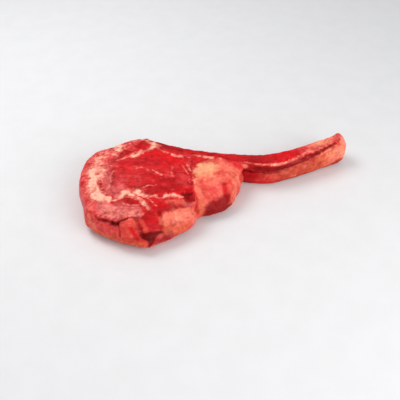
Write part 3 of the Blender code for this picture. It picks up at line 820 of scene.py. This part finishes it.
def build_head():
    skin = Skin("meat_head", "rib_eye", HEAD_CELL, RED)
    plan = skin.plan
    x, y, z = plan.T
    cut_face = smooth(np.abs(skin.outwards[:, 2]), *CUT_FACE_SLOPE)
    wall = 1 - cut_face
    slow = clouds(plan, BROAD_BLOTCHES)
    middling = clouds(plan, HEAD_BLOTCHES, start=5.0)
    # Grain: straight in the eye of the meat, curved in the muscles round it
    skin.flow[:, 0] = x * EYE_GRAIN.x + y * EYE_GRAIN.y
    skin.flow[:, 1] = y * EYE_GRAIN.x - x * EYE_GRAIN.y
    skin.flow[:, 1] += GRAIN_BEND * clouds(plan, GRAIN_BEND_SIZE, octaves=2, start=21.0)
    for line in CURVED_MUSCLES:
        along, across, ratio = skin.follow(line)
        skin.flow[:, 0] = np.where(ratio < 1, along, skin.flow[:, 0])
        skin.flow[:, 1] = np.where(ratio < 1, across, skin.flow[:, 1])
    streaks = clouds(skin.flow, MUSCLE_STREAKS, octaves=4, start=3.0)
    # Ground colours, with painted shade in the recess, the notch, the groove and the creases
    skin.lay_clouds(FACE_BLOOM, slow, cut_face)
    skin.lay_clouds(FACE_STREAKS, streaks, cut_face)
    skin.lay_clouds(FACE_CLOUDS, middling, cut_face)
    skin.dab(FACE_DABS, cut_face)
    skin.dye(wall, CORAL)
    skin.lay_clouds(WALL_CLOUDS, middling, wall)
    rim = smooth(-x, *RIM_REACH) * smooth(z, *RIM_HEIGHT)
    skin.dye(rim * RIM_STRENGTH, ROSE)
    skin.lay_clouds(RIM_CLOUDS, skin.wear, rim)
    skin.dab(WALL_DABS)
    # Painted shade in the wall's creases, darker the deeper they are
    for depth, wander, softness, line in WALL_CREASES.values():
        skin.dye(skin.near(line, wander, softness) * CREASE_SHADE * depth, DARK)
    # Fat and crumbs
    skin.grow_fat(FACE_FAT, cut_face)
    calm = skin.near(CALM_EYE, wander=4.0, softness=0.9)
    pits = np.max([skin.near(line, wander=1.0, softness=0.5) for line in PITS], axis=0)
    skin.grain = (WALL_GRAIN + (1 - WALL_GRAIN) * cut_face) * (1 - CALM * calm)
    skin.grain = skin.grain * (1 - PIT_CALM * pits)
    back_rim = smooth(y, *BACK_RIM_DEPTH) * smooth(z, *BACK_RIM_HEIGHT) * smooth(-x, *BACK_RIM_REACH)
    edge = skin.near(CRUMBLY_EDGE, wander=2.0, softness=0.6)
    rims = (rim * RIM_CRUMB, edge, back_rim * BACK_RIM_CRUMB, wall * WALL_CRUMB)
    skin.crumb = np.max(rims, axis=0) * (1 - pits)
    # Relief
    skin.height += FAT_RISE * skin.fat + BLOTCH_RISE * middling + STREAK_RISE * streaks * cut_face
    skin.height += CRUMB_RISE * skin.crumb * clouds(plan, CRUMB_SIZE, octaves=2, start=11.0)
    skin.sink(WALL_CREASES)
    skin.sink(WALL_FORMS)
    close_gap(skin)
    return skin


# The red nub where lump and strip meet, which both their skins share
NUB_DABS = {
    "nub": (SCARLET, 0.98, 1, 0.35, ((20, 0, 37, 4.5), (23, -3, 36, 6.5), (27, -5, 35, 6))),
    "nub's tip": (PALE_CORAL, 0.90, 2, 0.7, ((30, -5, 33, 2.4), (34, -5, 32, 3))),
}
NUB_FORM = {
    "nub": (-2.6, 0.6, 0.7, ((22, -2, 37, 6), (28, -4, 34, 5.5), (33, -5, 32, 3))),
}
# Clouds of colour, stains, painted shade and crumbs on the lump
LUMP_CLOUDS = {
    "pale blotches": (PALE_CORAL, 0.60, 1, -0.10, 0.50),
}
LUMP_SPECKLES = {
    "rosy flecks": (ROSE, 0.25, 1, 0.10, 0.60),
}
LUMP_CRUMB = 0.12
LUMP_DABS = {
    "top": (APRICOT, 0.95, 3, 0.9, ((-34, -8, 41, 8), (-25, -4, 42, 12), (-16, -2, 42, 10))),
    "right face": (
        PALE_CORAL, 0.65, 3, 0.7,
        ((4, 0, 40, 7), (12, -11, 38, 8), (14, -22, 30, 8), (8, -34, 22, 6), (2, -44, 16, 4)),
    ),
    "front edge of the top": (PALE_CORAL, 0.40, 3, 0.8, ((-24, -26, 37, 7), (-8, -24, 37, 7))),
    "left edge": (PALE_CORAL, 0.75, 2, 0.8, ((-42, -20, 39, 4), (-42, -34, 34, 5), (-41, -46, 24, 5))),
    "left foot": (AMBER, 0.80, 2, 0.7, ((-43, -46, 26, 5), (-45, -54, 14, 6), (-46, -56, 6, 6))),
    "front": (ROSE, 0.60, 4, 0.9, ((-22, -37, 32, 6), (-6, -35, 32, 5))),
    "streak down the front": (
        BRIGHT, 0.80, 1.5, 0.5,
        ((-4, -32, 35, 1.6), (-7, -39, 32, 3.5), (-7, -46, 27, 4.5)),
    ),
    # The dark front and foot: darker red meat, and painted shade low down towards the floor
    "dark front": (
        GARNET, 0.95, 2, 0.5,
        ((-34, -54, 17, 5.5), (-25, -52, 20, 6), (-14, -51, 21, 7), (-6, -49, 22, 7)),
    ),
    "dark foot": (DARK, 0.95, 2, 0.5, ((-36, -57, 8, 8), (-14, -57, 10, 9), (-2, -52, 8, 7))),
    "right edge": (AMBER, 0.75, 1.5, 0.6, ((1, -48, 13, 2), (13, -32, 13, 2.5), (23, -17, 15, 2.5))),
    "meat behind it": (
        RED, 0.95, 2, 0.35,
        ((-42, 4, 8), (-34, 16, 9), (-20, 21, 10), (-6, 23, 10), (6, 19, 9), (17, 9, 7)),
    ),
    "tongue of meat": (RED, 0.85, 3, 0.4, ((-41, -4, 1.8), (-42, -10, 2.2), (-43, -18, 1.2))),
    "valley behind it": (
        DEEP, 0.60, 1.5, 0.8,
        ((-37, 12, 41, 2), (-27, 10, 41, 2), (-13, 15, 40, 2), (2, 12, 40, 1.6)),
    ),
}
# The lump's seams of fat lie on its top, above this height
LUMP_TOP = (0.030, 0.036)
LUMP_FAT = {
    "line behind the lump": (
        0.60, 1.5, 0.9,
        ((-32, 31, 1.2), (-25, 24, 1.6), (-15, 19, 1.8), (-5, 15, 1.6), (4, 10, 1.2)),
    ),
    "left edge": (0.50, 2.0, 0.9, ((-40, 10, 1.4), (-39, -4, 2), (-40, -14, 2), (-42, -24, 1.4))),
    "glow on top": (0.30, 3.0, 0.9, ((-34, -7, 7), (-22, -4, 8))),
}
# Hollows and swellings of the lump, and further down of strip and knob, as on the head's wall
LUMP_FORMS = {
    "valley": (
        1.8, 0.8, 0.8,
        ((-37, 24, 41, 3), (-35, 10, 42, 3), (-26, 14, 41, 3), (-13, 16, 40, 3), (2, 11, 40, 2)),
    ),
    "hollow beside the nub": (1.8, 0.8, 0.7, ((12, 2, 40, 2), (14, -8, 38, 2.5), (20, -14, 33, 2.5))),
    "right edge": (-0.8, 0.8, 0.8, ((4, -43, 16, 2.5), (12, -33, 19, 3), (24, -16, 19, 3))),
    "front ridge": (-0.9, 0.8, 0.9, ((-14, -22, 38, 3), (-16, -38, 31, 3.5), (-20, -50, 22, 3))),
}


def build_lump():
    skin = Skin("fat_between_head_and_rib", "fat_lump", LUMP_CELL, CORAL)
    plan = skin.plan
    upper = smooth(plan[:, 2], *LUMP_TOP)
    middling = clouds(plan, LUMP_BLOTCHES, start=4.0)
    skin.lay_clouds(LUMP_CLOUDS, middling)
    skin.lay_clouds(LUMP_SPECKLES, clouds(plan, LUMP_FLECKS, start=14.0))
    skin.dab(LUMP_DABS)
    skin.dab(NUB_DABS)
    skin.grow_fat(LUMP_FAT, upper)
    skin.crumb += LUMP_CRUMB
    skin.height += LUMP_BLOTCH_RISE * middling + LUMP_FAT_RISE * skin.fat
    skin.sink(LUMP_FORMS)
    skin.sink(NUB_FORM)
    close_gap(skin)
    return skin


# Colours along the rib: x in millimetres, then the colour. Their borders waver by this much
COURSE_WAVER = 0.010
STRIP_COURSE = (
    (-60, DEEP), (-28, RED), (25, RED), (50, DEEP), (76, RED), (90, BRIGHT), (110, BRIGHT), (130, ROSE),
    (145, PALE_CORAL), (163, PALE_CORAL), (175, CORAL),
)
BONE_COURSE = (
    (30, DEEP), (47, RED), (64, CORAL), (80, RUST), (122, RUST), (152, AMBER), (172, PALE_CORAL),
    (190, PALE_CORAL),
)
DARK_BAND = (
    (46, -11, 30, 3), (66, -16, 28, 4.5), (83, -17, 28, 6), (97, -16, 29.5, 6), (111, -14, 32.5, 5),
    (125, -12, 34, 5), (141, -8, 36, 4), (158, -2, 36, 3.5), (175, 5, 37, 2.5),
)
RIDGE = (
    (36, 2, 36, 1.2), (43, -4, 36, 1.4), (54, -9, 35, 1.6), (66, -13, 35, 1.8), (77, -15, 34, 2),
    (86, -15, 34, 2), (96, -13, 34, 2.2), (109, -10, 35, 2.2), (125, -4, 36, 2.2), (135, -2, 36, 2.4),
    (145, 0, 36, 2.6), (159, 4, 36, 2.8), (174, 9, 37, 2.4),
)
# Where, in metres, strip and bone change along X and in height: from none to full
RED_MEAT_END = (0.10, 0.14)
CRUMBLY_FROM = (0.10, 0.15)
PALE_BONE_FROM = (0.06, 0.10)
BONE_END = (0.184, 0.190)
STRIP_TOP = (0.032, 0.037)
STRIP_TOP_SLOPE = (0.3, 0.6)
# Painted shade along the bone's underside: the heights over which it comes in, and how dark it is
BONE_UNDERSIDE_SHADE = (-0.009, -0.002)
BONE_UNDERSIDE_SHADE_STRENGTH = 0.6
# The broken film of fat on the bone's end
BONE_END_FAT = 0.4
BONE_END_SPAN = (-0.3, 0.2)
# How crumbly strip and bone are
STRIP_CRUMB = 0.20
BONE_CRUMB = 0.15
# Clouds of colour along the rib
STRIP_CLOUDS = {
    "dark blotches": (DEEP, 0.40, 1, 0.10, 0.60),
}
BONE_BLOOM = {
    "pale blotches": (PALE_CORAL, 0.28, 1, 0.10, 0.60),
}
BONE_CLOUDS = {
    "dark blotches": (DEEP, 0.40, -1, 0.20, 0.70),
}
# Stains and painted shade on strip and bone: colour, strength, wander, softness, then x, y, z, half
# width
RIB_DABS = {
    "dark band": (DARK, 0.96, 2, 0.45, DARK_BAND),
    "dusty stretch of the band": (
        DUSKY, 0.40, 3, 0.8,
        ((98, -16, 32, 2.5), (112, -14, 34, 3), (126, -12, 35, 2.5)),
    ),
    "film beside the lump": (DEEP, 0.55, 2, 0.6, ((40, -8, 26, 5), (49, -10, 21, 6), (56, -12, 16, 6))),
    "red foot of the rib": (RED, 0.50, 2, 0.8, ((56, -14, 5, 4), (70, -17, 8, 4.5), (84, -17, 7, 3))),
    "dark line on the rib": (
        DARK, 0.70, 1, 0.8,
        ((59, -12, 19, 1.2), (70, -15, 20, 1.6), (81, -15, 20, 1.2)),
    ),
    "ridge": (CORAL, 0.95, 1.5, 0.6, RIDGE),
    "top of the knob": (ROSE, 0.80, 2, 0.6, ((172, 18, 38, 6), (183, 16, 38, 7))),
    "pale end of the strip": (
        APRICOT, 0.40, 3, 0.8,
        ((150, 11, 37, 5), (164, 15, 37, 6), (174, 18, 37, 4)),
    ),
    "pale end of the rib": (
        APRICOT, 0.35, 3, 0.8,
        ((160, -5, 27, 5), (171, -3, 26, 6), (178, -1, 26, 6)),
    ),
    "spot on the knob": (DEEP, 0.85, 1, 0.5, ((182, 7, 37, 2.2), (184, 11, 37, 1.8))),
    "spot beside it": (DEEP, 0.80, 1, 0.5, ((171, 4, 37, 2.5), (176, 6, 37, 1.8))),
    # Painted shade low on the knob, beneath its end
    "painted shade at the foot of the knob": (DEEP, 0.90, 2, 0.7, ((186, -1, 5, 5), (178, -4, 5, 6), (168, -6, 2, 3.5))),
}
# Seams of fat and membrane along the rib
RIDGE_FAT = {
    "ridge": (0.45, 1.5, 0.9, RIDGE),
    "ridge's pale stretch": (
        0.70, 1.0, 0.9,
        (
            (60, -12, 35, 1.4), (70, -14, 35, 2), (82, -15, 34, 2.2), (96, -13, 34, 2.2),
            (112, -9, 35, 1.8),
        ),
    ),
    "far rim": (
        0.60, 2.0, 0.9,
        (
            (84, 8, 35, 1), (97, 11, 35, 1.3), (107, 12, 35, 1.3), (118, 14, 35, 1.6), (131, 17, 35, 2),
            (150, 21, 36, 2.2), (172, 25, 36, 2),
        ),
    ),
    "ridge's start": (0.35, 1.0, 0.9, ((30, 3, 36, 1.5), (38, -1, 36, 1.8))),
    "edge of the knob": (
        0.45, 1.0, 0.9,
        ((186, 26, 37, 1.6), (189, 14, 38, 2), (188, 1, 36, 2), (188, -2, 28, 2.2), (188, -2, 14, 1.8)),
    ),
}
STRIP_FORMS = {
    "ridge": (-0.8, 0.8, 0.8, RIDGE),
    "dark band": (0.9, 0.8, 0.8, DARK_BAND),
}
KNOB_FORMS = {
    "bump on the knob": (-1.4, 1.0, 0.8, ((187, 20, 37, 3), (189, 12, 37, 3))),
    "dent in the knob": (1.2, 1.0, 0.8, ((182, 9, 38, 2), (186, 6, 38, 2.5))),
    "swelling of the knob": (-0.8, 1.0, 0.9, ((186, 22, 34, 5), (188, 10, 34, 5), (187, 2, 20, 5))),
    "hollow before the knob": (0.8, 1.0, 0.9, ((173, -4, 30, 3), (175, -5, 14, 3))),
}


def along_rib(skin, course):
    """The ground colour of a piece of the rib, from its table along X."""
    places = [place * MM for place, _ in course]
    wavy = skin.plan[:, 0] + COURSE_WAVER * skin.wear
    channels = [np.interp(wavy, places, [colour[k] for _, colour in course]) for k in range(3)]
    return np.array(channels).T


def stringy_relief(skin, blotches):
    """The low relief of meat and membrane that run along the rib."""
    streaks = clouds(skin.plan, RIB_STREAKS, start=8.0)
    skin.height += BLOTCH_RISE * blotches + STREAK_RISE * streaks


def build_strip():
    skin = Skin("meat_along_rib", "rib_meat", STRIP_CELL, RED)
    plan = skin.plan
    x, _, z = plan.T
    middling = clouds(plan, STRIP_BLOTCHES, start=4.0)
    skin.tint = along_rib(skin, STRIP_COURSE)
    skin.lay_clouds(STRIP_CLOUDS, middling, 1 - smooth(x, *RED_MEAT_END))
    skin.dab(RIB_DABS)
    skin.dab(NUB_DABS)
    skin.grow_fat(RIDGE_FAT)
    top = smooth(z, *STRIP_TOP) * smooth(skin.outwards[:, 2], *STRIP_TOP_SLOPE)
    skin.grow_fat(FACE_FAT, top)
    skin.crumb += STRIP_CRUMB * smooth(x, *CRUMBLY_FROM)
    stringy_relief(skin, middling)
    skin.sink(STRIP_FORMS)
    skin.sink(NUB_FORM)
    close_gap(skin)
    return skin


def build_bone():
    skin = Skin("rib", "rib_bone", BONE_CELL, CORAL)
    plan = skin.plan
    x, _, z = plan.T
    middling = clouds(plan, BONE_BLOTCHES, start=4.0)
    skin.tint = along_rib(skin, BONE_COURSE)
    skin.lay_clouds(BONE_BLOOM, middling, smooth(x, *PALE_BONE_FROM))
    skin.lay_clouds(BONE_CLOUDS, middling)
    # Painted shade along the underside of the bone
    skin.dye(smooth(-z, *BONE_UNDERSIDE_SHADE) * BONE_UNDERSIDE_SHADE_STRENGTH, DEEP)
    skin.dab(RIB_DABS)
    skin.grow_fat(RIDGE_FAT)
    end_fat = BONE_END_FAT * smooth(x, *BONE_END) * smooth(middling, *BONE_END_SPAN)
    skin.fat = np.maximum(skin.fat, end_fat)
    skin.crumb += BONE_CRUMB
    stringy_relief(skin, middling)
    skin.sink(KNOB_FORMS)
    close_gap(skin)
    return skin


def build_floor():
    mesh = bmesh.new()
    bmesh.ops.create_grid(mesh, x_segments=4, y_segments=4, size=FLOOR_SIZE)
    data = bpy.data.meshes.new("floor")
    mesh.to_mesh(data)
    mesh.free()
    floor = bpy.data.objects.new("floor", data)
    bpy.context.scene.collection.objects.link(floor)
    recipe = Recipe("pale_floor")
    specks = recipe.noise(FLOOR_SPECKS).ease(*FLOOR_SPECK_SPAN)
    colour = recipe.mix(specks, FLOOR_DARK, FLOOR_LIGHT)
    sockets = {"Base Color": colour, "Roughness": FLOOR_ROUGHNESS}
    shader = recipe.node("ShaderNodeBsdfPrincipled", {}, sockets)
    recipe.node("ShaderNodeOutputMaterial", {}, {"Surface": shader})
    data.materials.append(recipe.material)


def soft_light(name, place, aim, size, power):
    lamp = bpy.data.lights.new(name, "AREA")
    lamp.shape = "DISK"
    lamp.size = size
    lamp.energy = power
    holder = bpy.data.objects.new(name, lamp)
    holder.location = place
    holder.rotation_euler = (Vector(aim) - Vector(place)).to_track_quat("-Z", "Y").to_euler()
    bpy.context.scene.collection.objects.link(holder)


def build_studio():
    world = bpy.data.worlds.new("studio")
    world.use_nodes = True
    sky = world.node_tree.nodes["Background"]
    sky.inputs["Color"].default_value = opaque(SKY_COLOUR)
    sky.inputs["Strength"].default_value = SKY_STRENGTH
    bpy.context.scene.world = world
    for name, values in LIGHTS.items():
        soft_light(name, *values)
    bpy.context.scene.view_settings.view_transform = "Standard"


def build_camera():
    lens = bpy.data.cameras.new("camera")
    lens.lens = CAMERA_LENS_MM
    lens.sensor_width = SENSOR_MM
    camera = bpy.data.objects.new("camera", lens)
    turn = Matrix((CAMERA_RIGHT, CAMERA_UP, CAMERA_RIGHT.cross(CAMERA_UP))).transposed()
    camera.matrix_world = Matrix.Translation(CAMERA_PLACE) @ turn.to_4x4()
    bpy.context.scene.collection.objects.link(camera)
    bpy.context.scene.camera = camera


def main():
    build_camera()
    build_studio()
    build_floor()
    meat = raw_meat("raw_meat", MEAT_GRAIN)
    fatty = raw_meat("fatty_meat", FATTY_GRAIN)
    pieces = ((build_head, meat), (build_lump, fatty), (build_strip, meat), (build_bone, fatty))
    for build, material in pieces:
        skin = build()
        skin.finish()
        skin.thing.data.materials.append(material)
        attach(skin.thing, "root")
        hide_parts(skin.node)


main()
